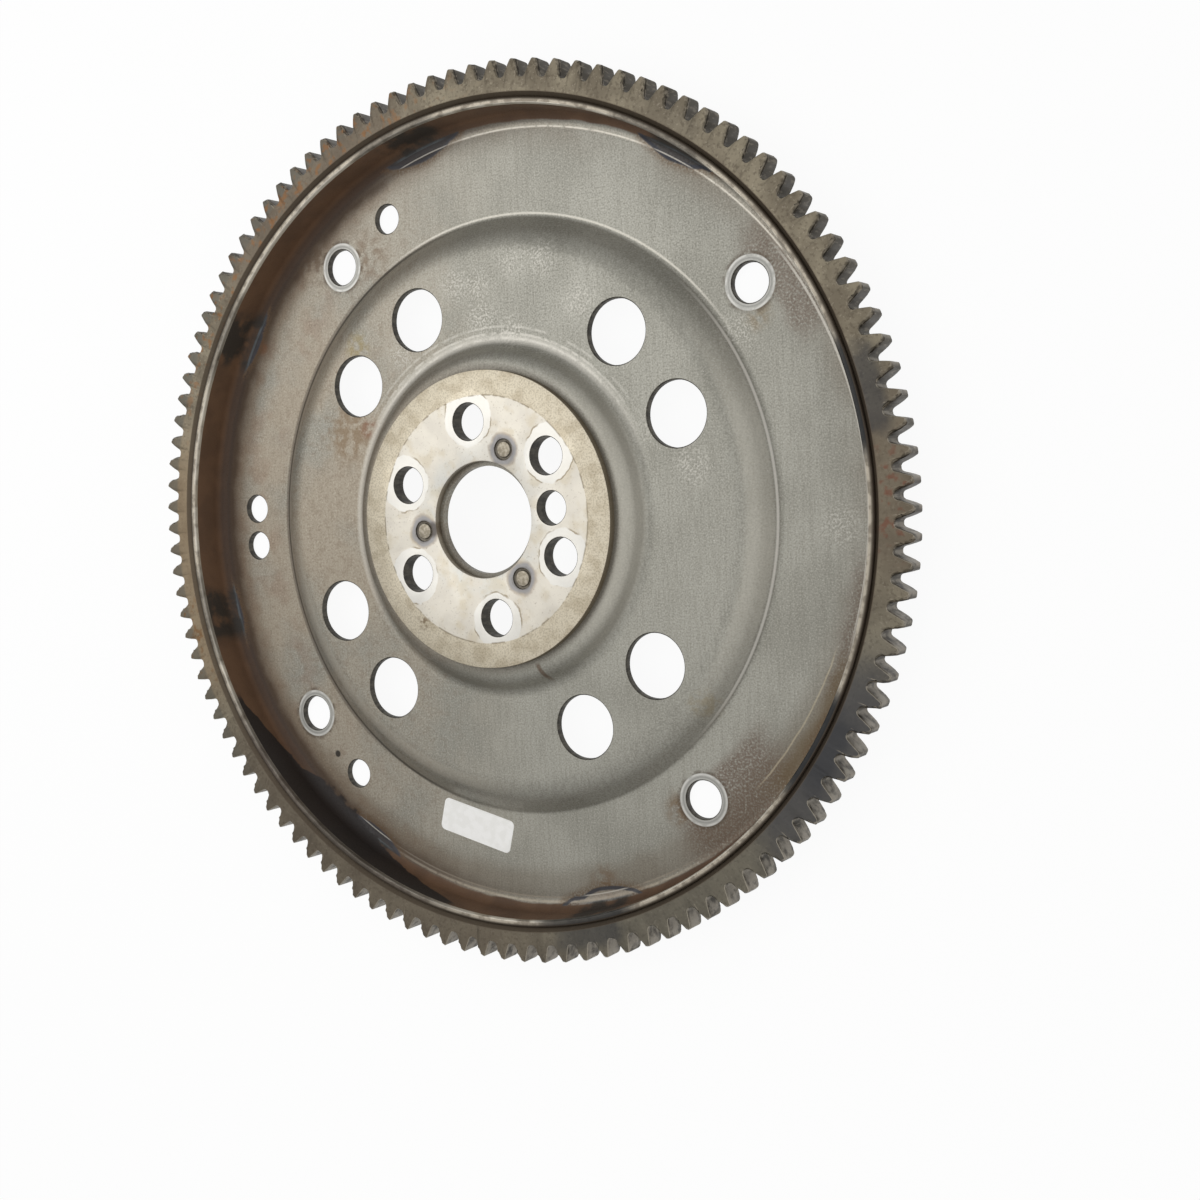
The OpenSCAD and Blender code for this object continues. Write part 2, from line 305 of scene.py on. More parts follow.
# An olive stain with a pale edge at the lower right
olive_off = off_angle(tree, rough_angle, -30)
skin = tinted(tree, skin, "#6a583c", 0.65, (rough_r, 120.5, 125.5), (olive_off, 14, 7))
skin = tinted(tree, skin, "#c2b69c", 0.5, (ragged_r, 121.1, 121.4, 121.9, 121.6), (olive_off, 13, 9))

# Single stains, each with its place, size, colour and strength, then a rust run on the hub and a drop of tar
stains = (
    (-62, 31, 12, "#7a6448", 0.6), (-53, 33, 4, "#7a4f3a", 0.5), (-56, 60, 6, "#8f7f4e", 0.5),
    (-56, 92, 9, "#6f5a45", 0.5), (-83, 93, 10, "#5d4a39", 0.5), (-107, 65, 3, "#7a4a28", 0.5),
    (60, -93, 6, "#6f5636", 0.6), (92, 58, 5, "#7d6a4a", 0.5), (72, -59, 5, "#8f7d52", 0.4),
    (31, -119, 6, "#6b4f33", 0.5),
)
for x, y, size, colour, strength in stains:
    stain_off = off_centres(tree, place, [(x * MM, y * MM)])
    stain_off = node(tree, "ShaderNodeMath", {0: stain_off, 1: wobble}, operation="ADD").outputs[0]
    skin = tinted(tree, skin, colour, strength, (stain_off, size * 1.25, size * 0.4), flecked)
run_off = off_angle(tree, angle, -69.5)
skin = tinted(tree, skin, "#5f4630", 0.7, (run_off, 1.2, 0.4), (radius, 49, 50.5, 57, 54))
drop_off = off_centres(tree, place, [(-80.4 * MM, -82.7 * MM)])
skin = tinted(tree, skin, "#1f1c18", 0.9, (drop_off, 1.5, 0.9))

# Painted light with some dirt: a ring of dirt and painted shadow round the hub plate, painted shade on the left
# of the hub wall and in and beside the step's foot there, painted highlights on the right of the hub and step
# walls and along the step's foot at the right and top, and a pale band on the step's upper bend at the lower
# left.
# Each has its colour, strength, edges across the band, and the middle of its arc with both ends of its fade.
shade_highlight_and_dirt_bands = (
    ("#5b5348", 0.55, (51.5, 48.6), 165, 12, 40),
    ("#645d51", 0.4, (49, 51, 57, 55), 180, 100, 55),
    ("#c4bfb2", 0.45, (49, 51, 57, 55), 0, 75, 30),
    ("#c4bfb2", 0.4, (88, 91, 97, 96), 0, 50, 15),
    ("#46413a", 0.7, (96.9, 97.7, 98.9, 98.4), 180, 85, 60),
    ("#beb6a7", 0.4, (86, 88, 92, 90.5), -135, 50, 25),
    ("#554b40", 0.6, (98.3, 98.8, 100.0, 99.3), 180, 65, 40),
    ("#e4e0d7", 0.75, (96.7, 97.0, 97.6, 97.3), 0, 52, 30),
    ("#dcd7cb", 0.6, (98.8, 99.1, 99.8, 99.4), 76, 46, 28),
)
for colour, strength, edges, middle, nothing, full in shade_highlight_and_dirt_bands:
    arc = (off_angle(tree, angle, middle), nothing, full)
    skin = tinted(tree, skin, colour, strength, (radius, *edges), arc)

# Pale lime scuffs: smears on the inner annulus and thin arcs round the hub. Pale broken lines run along the
# start of the flange's bend.
scuff_centres = [(x * MM, y * MM) for x, y in (
    (-6, 76), (-4, 66), (-14, 77), (9, 83), (20, 83), (34, 67),
    (-38, 57), (8, 60), (60, 28), (86, 54), (72, 14), (117, -5),
)]
scuff_off = off_centres(tree, place, scuff_centres)
smear = node(tree, "ShaderNodeMath", {0: scuff_off, 1: wobble}, operation="ADD").outputs[0]
skin = tinted(tree, skin, "#d3cfc5", 0.5, (smear, 10, 1), (grains, 0.48, 0.62))
skin = tinted(tree, skin, "#d2cfc7", 0.5, (right_off, 110, 50), (grains, 0.31, 0.25))
hub_foot = (radius, 56.4, 57.4, 60.5, 59)
skin = tinted(tree, skin, "#cfcbc1", 0.5, hub_foot, (off_angle(tree, angle, 120), 115, 60))
top_side = within(tree, off_angle(tree, angle, 88), 75, 30)
for arc_r, strength in ((58.6, 0.5), (60.2, 0.55), (62.3, 0.35)):
    arc = (radius, arc_r - 0.6, arc_r - 0.15, arc_r + 0.6, arc_r + 0.15)
    skin = tinted(tree, skin, "#d6d2c8", strength, arc, top_side, (spots, 0.34, 0.55))
pale_line = within(tree, radius, 126.2, 126.5, 127.0, 126.7)
line_top = within(tree, off_angle(tree, angle, 70), 42, 28)
line_low = within(tree, off_angle(tree, angle, -88), 36, 20)
line_right = (off_angle(tree, angle, 10), 32, 22)
broken = within(tree, spots, 0.28, 0.48)
skin = tinted(tree, skin, "#bdb5a6", 0.35, (radius, 125.8, 126.4, 128.3, 127.5), line_top, rusted)
skin = tinted(tree, skin, "#e2dccf", 0.8, pale_line, line_top, broken)
skin = tinted(tree, skin, "#a69b8a", 0.45, pale_line, line_low, broken)
skin = tinted(tree, skin, "#b5aa97", 0.4, (radius, 127.5, 127.8, 128.5, 128.2), line_low, broken)
skin = tinted(tree, skin, "#d8d3c8", 0.7, (radius, 125.0, 125.3, 126.0, 125.7), line_right)

# Brown oil varnish on the flange, with painted shade in its foot at the left side
varnish = within(tree, ragged_r, 128.4, 129.1)
skin = tinted(tree, skin, "#644933", 0.97, varnish)
skin = tinted(tree, skin, "#463223", 0.45, varnish, (patches, 0.35, 0.65))
flange_foot_shade = (radius, 126.8, 128.2, 130.9, 129.9)
skin = tinted(tree, skin, "#3a281a", 0.7, flange_foot_shade, (off_angle(tree, angle, 160), 95, 45))

# Eight marks of welding heat, which reach farther in at the top and bottom and are bluest at the lower right
heat_lag = 2.5
heat_half = 5.4
heat_r = 128.0
heat_reach = 3.5
heat_bow = 2.6
weld_off = off_angle(tree, rough_angle, weld_angle + heat_lag, 360 / weld_count)
weld_off = node(tree, "ShaderNodeMath", {0: weld_off, 1: heat_half}, operation="DIVIDE").outputs[0]
turn = node(tree, "ShaderNodeMath", {0: angle}, operation="RADIANS").outputs[0]
sine = node(tree, "ShaderNodeMath", {0: turn}, operation="SINE").outputs[0]
reach = node(tree, "ShaderNodeMath", {0: sine, 1: sine}, operation="MULTIPLY").outputs[0]
reach = node(tree, "ShaderNodeMath", {0: reach, 1: -heat_reach, 2: heat_r}, operation="MULTIPLY_ADD").outputs[0]
edge_r = node(tree, "ShaderNodeMath", {0: weld_off, 1: weld_off}, operation="MULTIPLY").outputs[0]
edge_r = node(tree, "ShaderNodeMath", {0: edge_r, 1: heat_bow, 2: reach}, operation="MULTIPLY_ADD").outputs[0]
past = node(tree, "ShaderNodeMath", {0: ragged_r, 1: edge_r}, operation="SUBTRACT").outputs[0]
crescent = within(tree, past, -0.3, 0.5)
heat_line = within(tree, past, -0.5, 0.1, 1.3, 0.7)
flash = within(tree, weld_off, 1.0, 0.6)
hot_lip = within(tree, weld_off, 1.7, 1.0)
blue_side = within(tree, off_angle(tree, angle, -25), 95, 35)
below = within(tree, radius, 129.5, 129.0)
grey_off = off_angle(tree, angle, -74.5)
skin = tinted(tree, skin, "#664e34", 0.65, (past, -3.4, -0.2), below, rusted)
skin = tinted(tree, skin, "#2c2d31", 0.85, crescent, below, (grey_off, 14, 18))
skin = tinted(tree, skin, "#a7a196", 0.6, crescent, below, (grey_off, 12, 8), rusted)
skin = tinted(tree, skin, "#3f434d", 0.4, heat_line, below)
skin = tinted(tree, skin, "#2f3139", 0.8, heat_line, below, (off_angle(tree, angle, -8), 95, 75))
# A painted highlight runs along the fillet through each heat mark.
skin = tinted(tree, skin, "#d5cfc3", 0.6, (radius, 126.2, 126.4, 126.8, 126.6), crescent, below)
skin = tinted(tree, skin, "#717a7e", 0.4, flash, (radius, 128.4, 128.7, 129.3, 129.0))
skin = tinted(tree, skin, "#24231f", 0.85, flash, varnish, (patches, 0.34, 0.52))

# A run of black oil, which spreads down the inside of the flange at the lower left
oil_spread = 0.017
oil_z = 2.2
oil_off = off_angle(tree, angle, -126)
oil_edge = node(tree, "ShaderNodeMath", {0: oil_off, 1: oil_off}, operation="MULTIPLY").outputs[0]
oil_edge = node(tree, "ShaderNodeMath", {
    0: oil_edge,
    1: oil_spread,
    2: oil_z,
}, operation="MULTIPLY_ADD").outputs[0]
run = node(tree, "ShaderNodeMath", {0: height, 1: oil_edge}, operation="SUBTRACT").outputs[0]
run = node(tree, "ShaderNodeMath", {0: run, 1: wobble}, operation="ADD").outputs[0]
oil = within(tree, run, -0.3, 0.2)
for zone in (within(tree, ragged_r, 125.4, 126.4), within(tree, oil_off, 27, 25)):
    oil = node(tree, "ShaderNodeMath", {0: oil, 1: zone}, operation="MULTIPLY").outputs[0]
skin = tinted(tree, skin, "#1d1613", 0.97, oil)

# The flange's lip is rubbed bright, but blue where it was welded. A painted highlight runs along its inner
# edge, painted shade darkens its outer rounding, and a painted shadow fills the gap outside it
lip_zone = within(tree, height, 15.4, 15.8)
rim_zone = within(tree, radius, 120, 125)
lip_zone = node(tree, "ShaderNodeMath", {0: lip_zone, 1: rim_zone}, operation="MULTIPLY").outputs[0]
skin = tinted(tree, skin, "#b4ab9b", 0.97, lip_zone)
skin = tinted(tree, skin, "#5d5347", 0.6, lip_zone, (spots, 0.44, 0.62))
skin = tinted(tree, skin, "#5d5549", 0.7, lip_zone, (radius, 132.05, 132.4))
skin = tinted(tree, skin, "#ded8cb", 0.75, lip_zone, (radius, 131.55, 131.3), (patches, 0.34, 0.56))
skin = tinted(tree, skin, "#40362f", 0.8, lip_zone, (oil_off, 34, 16))
skin = tinted(tree, skin, "#4a443c", 0.6, lip_zone, hot_lip)
skin = tinted(tree, skin, "#232527", 0.95, lip_zone, hot_lip, blue_side)
skin = tinted(tree, skin, "#42382d", 0.85, lip_zone, (radius, 132.4, 132.7))

# Bright rings that the converter's bolts have rubbed, with a painted highlight along their outer edge, and dirt
# with painted shadow round them
seat_off = off_centres(tree, place, converter_centres)
skin = tinted(tree, skin, "#4f4235", 0.65, (seat_off, 10.0, 8.6), flecked)
skin = tinted(tree, skin, "#b0afa9", 0.95, (seat_off, 8.55, 8.3))
skin = tinted(tree, skin, "#d8d6d0", 0.7, (seat_off, 7.6, 7.85, 8.4, 8.2), (spots, 0.35, 0.55))
skin = tinted(tree, skin, "#83827e", 0.5, (seat_off, 6.9, 7.1, 7.5, 7.3))

bare = node(tree, "ShaderNodeMath", {0: 1, 1: lip_zone}, operation="SUBTRACT").outputs[0]
dull = node(tree, "ShaderNodeMath", {0: varnish, 1: oil}, operation="MAXIMUM").outputs[0]
dull = node(tree, "ShaderNodeMath", {0: dull, 1: rim_varnish_and_shade}, operation="MAXIMUM").outputs[0]
dull = node(tree, "ShaderNodeMath", {0: dull, 1: bare}, operation="MULTIPLY").outputs[0]
gloss = node(tree, "ShaderNodeMapRange", {0: grit, 3: 0.42, 4: 0.54}).outputs[0]
dents = cloud(tree, place, 1.2, 3)
shader = node(tree, "ShaderNodeBsdfPrincipled", {
    "Base Color": skin,
    "Metallic": node(tree, "ShaderNodeMapRange", {0: dull, 3: 0.55, 4: 0.0}).outputs[0],
    "Roughness": node(tree, "ShaderNodeMath", {0: dull, 1: 0.2, 2: gloss}, operation="MULTIPLY_ADD").outputs[0],
    "Normal": node(tree, "ShaderNodeBump", {
        "Height": dents,
        "Strength": 0.35,
        "Distance": 0.05 * MM,
    }).outputs[0],
})
node(tree, "ShaderNodeOutputMaterial", {"Surface": shader.outputs[0]})

# Sheared steel: the torn wall that a punch leaves, coloured dark as painted shade inside the holes.
shaded_sheared_steel, tree, place = new_material("shaded_sheared_steel")
torn = within(tree, cloud(tree, place, 1.5, stretch=(1, 1, 0.3)), 0.35, 0.65)
shade = node(tree, "ShaderNodeMix", {0: torn, 6: linear("#3a3731"), 7: linear("#57534a")}, data_type="RGBA")
shader = node(tree, "ShaderNodeBsdfPrincipled", {
    "Base Color": shade.outputs[2],
    "Metallic": 0.4,
    "Roughness": 0.55,
})
node(tree, "ShaderNodeOutputMaterial", {"Surface": shader.outputs[0]})


def punches(name, holes, edge, top, bottom):
    """Tools that cut holes of a centre and radius, flared at the top so that each hole gets a rolled edge."""
    mesh = bpy.data.meshes.new(name)
    joined = bmesh.new()
    spare = 1 * MM
    steps = 64
    for (x, y), hole_r in holes:
        flare = [(hole_r + edge - edge * math.cos(a), top - edge + edge * math.sin(a))
                 for a in [math.radians(d) for d in (0, 20, 40, 60, 78)]]
        section = [(0, bottom - spare), (hole_r, bottom - spare)] + flare
        section += [(flare[-1][0] + edge / 4, top + spare), (0, top + spare)]
        tool = turned("tool", section, steps)
        tool.transform(Matrix.Translation((x, y, 0)))
        joined.from_mesh(tool)
        bpy.data.meshes.remove(tool)
    joined.to_mesh(mesh)
    joined.free()
    return merged(mesh, math.radians(30))


def cut(blank, tools, inside):
    """The blank's mesh with the tools' holes in it, their walls in the tools' own material."""
    tool = placed("tools", tools, inside)
    boolean = blank.modifiers.new("holes", "BOOLEAN")
    boolean.object = tool
    boolean.solver = "EXACT"
    boolean.material_mode = "TRANSFER"
    seen = blank.evaluated_get(bpy.context.evaluated_depsgraph_get())
    blank.data = bpy.data.meshes.new_from_object(seen)
    blank.modifiers.remove(boolean)
    bpy.data.objects.remove(tool)


half = sheet / 2
flange_r = flange_out_r - half
middle_line = [
    Vector((disc_bore_r, hub_z - half)),
    Vector((hub_corner_r, hub_z - half)),
    Vector((hub_corner_r + (hub_z - inner_z) / math.tan(hub_slope), inner_z - half)),
    Vector((step_corner_r - (inner_z - sheet) / math.tan(step_slope), inner_z - half)),
    Vector((step_corner_r, half)),
    Vector((flange_r, half)),
    Vector((flange_r, flange_z)),
]
bends = [b * MM for b in (4.5, 5.1, 12, 2.9, 5.6)]
lip = []
for side, sweep in ((-1, (90, 60, 30, 0)), (1, (0, 30, 60, 90))):
    for lean in [math.radians(d) for d in sweep]:
        lip.append((flange_r + side * (half - flange_round * (1 - math.sin(lean))),
                    flange_z - flange_round * (1 - math.cos(lean))))
disc_section = [(disc_bore_r, hub_z)] + [tuple(p) for p in bent_face(middle_line, bends, half)] + lip
disc_section += [tuple(p) for p in reversed(bent_face(middle_line, bends, -half))]
disc_section += [(disc_bore_r, hub_z - sheet)]
disc_mesh = merged(turned("disc_pressing", disc_section, turn_steps), math.radians(30))
disc = placed("disc_pressing", disc_mesh, pressed_steel)
hub_edge = 0.1 * MM
hole_edge = 0.45 * MM
hub_holes = [(c, crank_r) for c in crank_centres] + [(dowel_centre, dowel_r)]
inner_holes = [(c, lightening_r) for c in lightening_centres]
rim_holes = [(c, converter_r) for c in converter_centres] + [(c, gauge_r) for c in gauge_centres]
cut(disc, punches("hub_punches", hub_holes, hub_edge, hub_z, hub_z - sheet), shaded_sheared_steel)
cut(disc, punches("lightening_punches", inner_holes, hole_edge, inner_z, inner_z - sheet), shaded_sheared_steel)
cut(disc, punches("rim_punches", rim_holes, hole_edge, sheet, 0), shaded_sheared_steel)
merged(disc.data, math.radians(30))
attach(disc, "root")
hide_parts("disc")

# Hub plate
# A thicker steel plate, ground flat and bolted between the crankshaft's flange and the disc.
# The flange has left a round mark on it, and the bolts have kept clean pale patches round their holes.

plate_r = plate_high[0]
plate_z = plate_high[2]
plate_bore_r = 18.85 * MM
plate_chamfer = 0.4 * MM
plug_r = 3.4 * MM
plug_circle_r = 24 * MM
plug_angle = 67.5
plug_count = 3
plug_centres = [on_circle(plug_circle_r, plug_angle + 360 / plug_count * i) for i in range(plug_count)]

# Ground steel: a pale metal face with a warm film of old oil, darker outside the crankshaft's flange.
# The bolt heads have kept lighter patches round their holes, with thin brown tide marks at their edges.
ground_steel, tree, place = new_material("ground_steel")
crank_flange_r = 40
head_shift = 1.04
radius, angle, _ = polar(tree, place)
wander = cloud(tree, place, 4, 3)
wobble = node(tree, "ShaderNodeMath", {0: wander, 1: 2.4, 2: -1.2}, operation="MULTIPLY_ADD").outputs[0]
face = node(tree, "ShaderNodeMix", {
    0: within(tree, cloud(tree, place, 9, 4), 0.35, 0.65),
    6: linear("#dad4c8"),
    7: linear("#e5dfd2"),
}, data_type="RGBA").outputs[2]
face = tinted(tree, face, "#d6d7d3", 0.6, (radius, 29, 20), (cloud(tree, place, 7, 3), 0.38, 0.6))
face = tinted(tree, face, "#f2eee4", 0.6, (radius, 31, 26), (off_angle(tree, angle, 45), 85, 45))
face = tinted(tree, face, "#cbbd9f", 0.4, (cloud(tree, place, 6, 4), 0.5, 0.68))
inside = within(tree, radius, crank_flange_r + 0.1, crank_flange_r - 0.1)
outside = within(tree, radius, crank_flange_r - 0.1, crank_flange_r + 0.1)
face = tinted(tree, face, "#d8ceb8", 0.9, outside)
face = tinted(tree, face, "#b5a88f", 0.55, outside, (cloud(tree, place, 5, 5), 0.42, 0.66))
face = tinted(tree, face, "#85775f", 0.34, outside, (cloud(tree, place, 0.6, 2), 0.44, 0.64))
face = tinted(tree, face, "#d9d0bd", 0.4, outside, (cloud(tree, place, 1.0, 3), 0.55, 0.7))
face = tinted(tree, face, "#8d806c", 0.35, (cloud(tree, place, 0.7), 0.6, 0.75))
bolt_heads = [Vector(c) * head_shift for c in crank_centres]
patch_off = off_centres(tree, place, bolt_heads)
patch_off = node(tree, "ShaderNodeMath", {0: patch_off, 1: wobble}, operation="ADD").outputs[0]
patch = within(tree, patch_off, 9.5, 9.2)
face = tinted(tree, face, "#e4e2dc", 0.75, patch, inside)
tide = within(tree, patch_off, 9.0, 9.25, 9.75, 9.45)
face = tinted(tree, face, "#8f7f63", 0.75, tide, inside, (cloud(tree, place, 6), 0.46, 0.6))
rim_mark = within(tree, radius, 39.6, 39.85, 40.35, 40.1)
face = tinted(tree, face, "#7d6f58", 0.6, rim_mark, (cloud(tree, place, 3), 0.44, 0.58))
blotch_off = off_centres(tree, place, [on_circle(42 * MM, -127.5)])
face = tinted(tree, face, "#6d563a", 0.7, (blotch_off, 3.6, 0.8), (cloud(tree, place, 1.4, 3), 0.4, 0.6))
halo_off = off_centres(tree, place, plug_centres)
halo_off = node(tree, "ShaderNodeMath", {0: halo_off, 1: wobble}, operation="ADD").outputs[0]
face = tinted(tree, face, "#a08f7d", 0.5, (halo_off, 6.2, 5.2))
face = tinted(tree, face, "#97979a", 0.8, (halo_off, 5.6, 4.4))
face = tinted(tree, face, "#716c68", 0.45, (halo_off, 4.2, 3.6))
burnt_off = off_centres(tree, place, [on_circle(20.5 * MM, 187.5)])
face = tinted(tree, face, "#5a534d", 0.8, (burnt_off, 3.4, 1.6))
# The plate's rim, bore and chamfers, which don't face up, are painted darker as shade.
facing = node(tree, "ShaderNodeNewGeometry", {}).outputs["Normal"]
upright = node(tree, "ShaderNodeSeparateXYZ", {0: facing}).outputs[2]
face = tinted(tree, face, "#6f6350", 0.8, (upright, 0.8, 0.3))
shader = node(tree, "ShaderNodeBsdfPrincipled", {
    "Base Color": face,
    "Metallic": 0.75,
    "Roughness": node(tree, "ShaderNodeMapRange", {0: patch, 3: 0.52, 4: 0.44}).outputs[0],
    "Normal": node(tree, "ShaderNodeBump", {
        "Height": within(tree, cloud(tree, place, 0.9), 0.3, 0.7),
        "Strength": 0.25,
        "Distance": 0.03 * MM,
    }).outputs[0],
})
node(tree, "ShaderNodeOutputMaterial", {"Surface": shader.outputs[0]})

plate_section = [
    (plate_bore_r, hub_z),
    (plate_r, hub_z),
    (plate_r, plate_z - plate_chamfer),
    (plate_r - plate_chamfer * 0.3, plate_z - plate_chamfer * 0.3),
    (plate_r - plate_chamfer, plate_z),
    (plate_bore_r + plate_chamfer, plate_z),
    (plate_bore_r + plate_chamfer * 0.3, plate_z - plate_chamfer * 0.3),
    (plate_bore_r, plate_z - plate_chamfer),
]
plate_steps = 192
drilled_edge = 0.35 * MM
plug_edge = 0.15 * MM
plug_holes = [(c, plug_r) for c in plug_centres]
plate_mesh = merged(turned("hub_plate_disc", plate_section, plate_steps), math.radians(50))
plate = placed("hub_plate_disc", plate_mesh, ground_steel)
cut(plate, punches("plate_punches", hub_holes, drilled_edge, plate_z, hub_z), shaded_sheared_steel)
cut(plate, punches("plug_punches", plug_holes, plug_edge, plate_z, hub_z), shaded_sheared_steel)
merged(plate.data, math.radians(30))
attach(plate, "root")
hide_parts("hub_plate")

# Hub plug welds
# Weld metal run into holes of the hub plate to hold it to the disc.
# Each one is a low button with a dark moat round it, in the middle of a ring of heat colour.

button_r = 2.5 * MM
moat = 0.7 * MM
plug_steps = 40

# Weld metal: steel that has been molten, grey with a tan skin where it is worn.
weld_metal, tree, place = new_material("weld_metal")
crust = node(tree, "ShaderNodeMix", {
    0: within(tree, cloud(tree, place, 1.2, 4), 0.4, 0.62),
    6: linear("#978e7d"),
    7: linear("#b9b09f"),
}, data_type="RGBA").outputs[2]
plug_off = off_centres(tree, place, plug_centres)
crust = tinted(tree, crust, "#4a453f", 0.7, (plug_off, 2.3, 2.6, 3.6, 3.3))
shader = node(tree, "ShaderNodeBsdfPrincipled", {
    "Base Color": crust,
    "Metallic": 0.7,
    "Roughness": 0.5,
    "Normal": node(tree, "ShaderNodeBump", {
        "Height": within(tree, cloud(tree, place, 0.6), 0.3, 0.7),
        "Strength": 0.4,
        "Distance": 0.05 * MM,
    }).outputs[0],
})
node(tree, "ShaderNodeOutputMaterial", {"Surface": shader.outputs[0]})


def round_the_axis(name, one, count, first_angle, material):
    """Even copies of one piece round the crank axis, made by Geometry Nodes and turned into a plain mesh.

    Points with a "burr" are pushed about, so that no two copies are rough in the same way.
    """
    burr_size = 0.9 * MM
    carrier = placed(name, one)
    tree = bpy.data.node_groups.new(name, "GeometryNodeTree")
    tree.interface.new_socket("Piece", in_out="INPUT", socket_type="NodeSocketGeometry")
    count_input = tree.interface.new_socket("Count", in_out="INPUT", socket_type="NodeSocketInt")
    angle_input = tree.interface.new_socket("First angle", in_out="INPUT", socket_type="NodeSocketFloat")
    tree.interface.new_socket("Ring", in_out="OUTPUT", socket_type="NodeSocketGeometry")
    given = node(tree, "NodeGroupInput", {}).outputs
    points = node(tree, "GeometryNodePoints", {"Count": given["Count"]}).outputs[0]
    step = node(tree, "ShaderNodeMath", {0: math.tau, 1: given["Count"]}, operation="DIVIDE").outputs[0]
    index = node(tree, "GeometryNodeInputIndex", {}).outputs[0]
    turn = node(tree, "ShaderNodeMath", {0: index, 1: step, 2: given["First angle"]}, operation="MULTIPLY_ADD")
    aim = node(tree, "ShaderNodeCombineXYZ", {2: turn.outputs[0]}).outputs[0]
    copies = node(tree, "GeometryNodeInstanceOnPoints", {
        "Points": points,
        "Instance": given["Piece"],
        "Rotation": aim,
    }).outputs[0]
    luck = node(tree, "FunctionNodeRandomValue", {"Seed": 7}, data_type="FLOAT").outputs[1]
    marked = node(tree, "GeometryNodeStoreNamedAttribute", {
        "Geometry": copies,
        "Name": "luck",
        "Value": luck,
    }, data_type="FLOAT", domain="INSTANCE").outputs[0]
    real = node(tree, "GeometryNodeRealizeInstances", {"Geometry": marked}).outputs[0]
    burr = node(tree, "GeometryNodeInputNamedAttribute", {"Name": "burr"}, data_type="FLOAT").outputs[0]
    here = node(tree, "GeometryNodeInputPosition", {}).outputs[0]
    lumps = node(tree, "ShaderNodeTexNoise", {"Vector": here, "Scale": 1 / burr_size, "Detail": 1}).outputs[1]
    lumps = node(tree, "ShaderNodeVectorMath", {0: lumps, 1: (0.5, 0.5, 0.5)}, operation="SUBTRACT").outputs[0]
    lumps = node(tree, "ShaderNodeVectorMath", {0: lumps, "Scale": burr}, operation="SCALE").outputs[0]
    lumps = node(tree, "ShaderNodeVectorMath", {0: lumps, "Scale": burr_size}, operation="SCALE").outputs[0]
    rough = node(tree, "GeometryNodeSetPosition", {"Geometry": real, "Offset": lumps}).outputs[0]
    dressed = node(tree, "GeometryNodeSetMaterial", {"Geometry": rough, "Material": material}).outputs[0]
    node(tree, "NodeGroupOutput", {0: dressed})
    ring = carrier.modifiers.new("ring", "NODES")
    ring.node_group = tree
    ring[count_input.identifier] = count
    ring[angle_input.identifier] = math.radians(first_angle)
    seen = carrier.evaluated_get(bpy.context.evaluated_depsgraph_get())
    carrier.data = bpy.data.meshes.new_from_object(seen)
    carrier.modifiers.remove(ring)
    return carrier


button_z = plate_z - 0.1 * MM
plug_section = [
    (0, hub_z),
    (plug_r, hub_z),
    (plug_r, plate_z - moat * 0.8),
    (plug_r - 0.2 * MM, plate_z - moat),
    (button_r + 0.2 * MM, plate_z - moat),
    (button_r, plate_z - moat * 0.6),
    (button_r - 0.1 * MM, button_z - 0.1 * MM),
    (button_r - 0.35 * MM, button_z),
    (0, button_z - 0.1 * MM),
]
plug = turned("plug", plug_section, plug_steps)
plug.transform(Matrix.Translation((plug_circle_r, 0, 0)))
plugs = round_the_axis("plug_weld_buttons", merged(plug, math.radians(40)), plug_count, plug_angle, weld_metal)
merged(plugs.data, math.radians(40))
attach(plugs, "root")
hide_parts("hub_plug_welds")

# Ring gear
# A ring of harder steel with teeth for the starter's pinion, shrunk on the flange and welded behind.
# Its front is turned, its teeth are hobbed, and brown oil and blue weld heat stain it.

tooth_count = 112
tooth_module = 2.54 * MM
tooth_first = 2.92
pressure_angle = math.radians(20)
backlash = 0.23 * MM
pitch_r = tooth_module * tooth_count / 2
base_r = pitch_r * math.cos(pressure_angle)
tip_r = pitch_r + tooth_module
root_r = pitch_r - 1.25 * tooth_module
root_fillet = 0.3 * tooth_module
tip_round = 0.12 * tooth_module
ring_bore_r = flange_out_r
ring_front = ring_high[2]
ring_rear = ring_low[2]
bore_chamfer = 1.4 * MM
front_slope_r = tip_r - 2.8 * MM
front_slope = 0.35 / 2.8
rear_chamfer_r = tip_r - 0.9 * MM
tooth_edge = 0.18 * MM
entry_chamfer = 0.8 * MM


def involute(r):
    """Involute function of the pressure angle at a radius."""
    slant = math.acos(base_r / r)
    return math.tan(slant) - slant


def tooth_half(r):
    """Half of the angle that a tooth covers at a radius."""
    return math.pi / 2 / tooth_count + involute(pitch_r) - involute(r) - backlash / 2 / r


def tooth_outline():
    """Points along one tooth, from the middle of one gap to that of the next, the clockwise side first."""
    low = root_r + root_fillet
    side = [(root_r, math.pi / tooth_count), (root_r, tooth_half(root_r) + 0.75 * root_fillet / root_r)]
    side += [(root_r + root_fillet * 0.35, tooth_half(root_r) + 0.14 * root_fillet / root_r)]
    for i in range(4):
        r = low + (tip_r - tip_round - low) * i / 3
        side.append((r, tooth_half(r)))
    side.append((tip_r, tooth_half(tip_r) - tip_round / tip_r))
    whole = [(r, -a) for r, a in side] + [(r, a) for r, a in reversed(side)]
    return [Vector((r * math.cos(a), r * math.sin(a))) for r, a in whole]


def front_at(p):
    """Height of the ring's front at a point: flat, then sloping down over the tooth ends."""
    return ring_front - max(0, p.length - front_slope_r) * front_slope


def rear_at(p):
    """Height of the ring's rear at a point: flat, then chamfered at the tooth tips."""
    return ring_rear + max(0, p.length - rear_chamfer_r)


